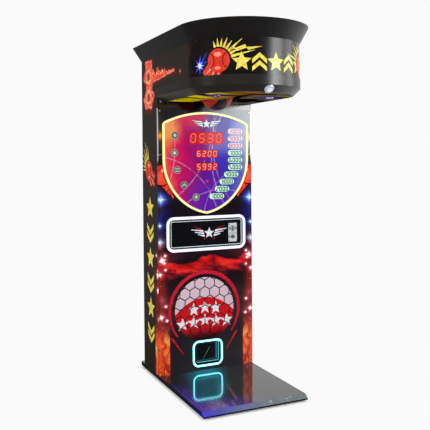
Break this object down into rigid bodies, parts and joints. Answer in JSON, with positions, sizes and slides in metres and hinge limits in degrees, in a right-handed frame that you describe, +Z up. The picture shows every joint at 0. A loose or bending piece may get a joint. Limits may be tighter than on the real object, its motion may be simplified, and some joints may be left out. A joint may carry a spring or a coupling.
{
  "type": "boxing arcade machine",
  "caption": "Coin-operated punch-ball strength tester: a column with a score shield and coin window on a low deck, under a round-fronted canopy whose ball swings down on an arm.",
  "frame": {"origin": "on the floor, under the middle of the whole machine's box", "axes": "+Z up, -Y towards the player, +X to the player's right"},
  "size_m": [0.816, 1.36, 2.286],
  "materials": {
    "black_laminate": "satin printed laminate on board",
    "bare_board": "sealed plywood",
    "deck_gloss": "mirror-gloss black",
    "black_steel": "satin black powder coat",
    "grey_steel": "satin grey powder coat",
    "zinc": "bright zinc plate",
    "bearing_iron": "painted casting",
    "edge_aluminium": "anodised satin",
    "polished_strip": "polished",
    "rubber": "matt",
    "shield_print": "gloss printed acrylic",
    "warm_light": "lit diffuser",
    "white_light": "lit diffuser",
    "cyan_light": "lit diffuser",
    "led_window": "smoked red filter over lit digits",
    "lamp_white": "lit lens",
    "circuit_green": "solder mask",
    "black_acrylic": "polished",
    "bezel_grey": "satin",
    "coin_plate_metal": "brushed",
    "red_plastic": "gloss",
    "black_plastic": "fine texture",
    "smoked_plastic": "polished smoked",
    "marquee_print": "gloss printed sheet",
    "moulded_black": "satin moulded",
    "underside_print": "satin printed sheet",
    "lamp_chrome": "bright",
    "red_leather": "glossy artificial leather",
    "button_white": "lit lens"
  },
  "bodies": {
    "cabinet": {"deck_plate": "deck_gloss", "base_rails": "black_steel", "feet": "rubber", "wheel_brackets": "black_steel", "wheel_axles": "zinc", "side_board_left": "black_laminate", "side_board_right": "black_laminate", "front_board": "black_laminate", "back_board": "black_laminate", "head_strip": "polished_strip", "edge_trims": "edge_aluminium", "panel_screws": "zinc", "shield_face": "shield_print", "shield_light": "warm_light", "number_displays": "led_window", "score_lamps": "lamp_white", "circuit_boards": "circuit_green", "window_light": "white_light", "coin_panel": "black_acrylic", "window_bezel": "bezel_grey", "coin_plate": "coin_plate_metal", "coin_mech": "black_plastic", "coin_ducts": "zinc", "cash_box": "grey_steel", "pocket_light": "cyan_light", "prize_pocket": "black_plastic", "flap_pin": "zinc", "hinge_frame_leaves": "zinc", "hinge_pins": "zinc", "fan_frame": "black_plastic", "speaker": "black_plastic", "rear_grilles": "black_steel", "power_inlet": "black_plastic", "power_supply": "zinc", "canopy_boards": "bare_board", "marquee_sheet": "marquee_print", "ledge_skirt": "moulded_black", "underside_panel": "underside_print", "canopy_lamps": "lamp_chrome", "crown": "moulded_black", "yoke": "grey_steel", "shaft_bearings": "bearing_iron", "stop_buffer": "rubber", "speed_sensor": "black_plastic", "holding_magnet": "zinc", "start_ring": "lamp_chrome"},
    "swing": {"swing_arm": "grey_steel", "encoder_disc": "zinc", "punch_ball": "red_leather"},
    "start_button": {"start_cap": "button_white"},
    "coin_reject": {"reject_button": "red_plastic"},
    "flap": {"prize_flap": "smoked_plastic"},
    "door": {"rear_door": "black_laminate", "hinge_door_leaves": "zinc", "lock_barrel": "zinc"},
    "lock": {"lock_cam": "zinc"},
    "wheel_left": {"wheel_left": "rubber"},
    "wheel_right": {"wheel_right": "rubber"},
    "fan": {"fan_rotor": "black_plastic"},
    "rocker": {"power_rocker": "red_plastic"}
  },
  "joints": [
    {"name": "ball_swing", "type": "hinge", "parent": "cabinet", "child": "swing", "pos_m": [0, -0.294, 1.933], "axis": [-1, 0, 0], "range_deg": [0, 92]},
    {"name": "start_press", "type": "slide", "parent": "cabinet", "child": "start_button", "axis": [0, 0.6981, 0.716], "range_m": [0, 0.004], "stiffness_N_per_m": 400, "springref_m": -0.002},
    {"name": "coin_return", "type": "slide", "parent": "cabinet", "child": "coin_reject", "axis": [0, 1, 0], "range_m": [0, 0.003], "stiffness_N_per_m": 300, "springref_m": -0.001},
    {"name": "flap_hinge", "type": "hinge", "parent": "cabinet", "child": "flap", "pos_m": [0, 0.282, 0.221], "axis": [1, 0, 0], "range_deg": [0, 70]},
    {"name": "door_hinge", "type": "hinge", "parent": "cabinet", "child": "door", "pos_m": [-0.241, 0.5973, 0.83], "axis": [0, 0, 1], "range_deg": [0, 110]},
    {"name": "door_lock", "type": "hinge", "parent": "door", "child": "lock", "pos_m": [0.21, 0.582, 0.83], "axis": [0, 1, 0], "range_deg": [0, 90]},
    {"name": "wheel_left_spin", "type": "hinge", "parent": "cabinet", "child": "wheel_left", "pos_m": [-0.242, 0.648, 0.036], "axis": [1, 0, 0], "continuous": true},
    {"name": "wheel_right_spin", "type": "hinge", "parent": "cabinet", "child": "wheel_right", "pos_m": [0.242, 0.648, 0.036], "axis": [1, 0, 0], "continuous": true},
    {"name": "fan_spin", "type": "hinge", "parent": "cabinet", "child": "fan", "pos_m": [0.204, 0.561, 1.65], "axis": [0, 1, 0], "continuous": true},
    {"name": "rocker_tilt", "type": "hinge", "parent": "cabinet", "child": "rocker", "pos_m": [0.279, 0.589, 0.147], "axis": [1, 0, 0], "range_deg": [-16, 0]}
  ]
}
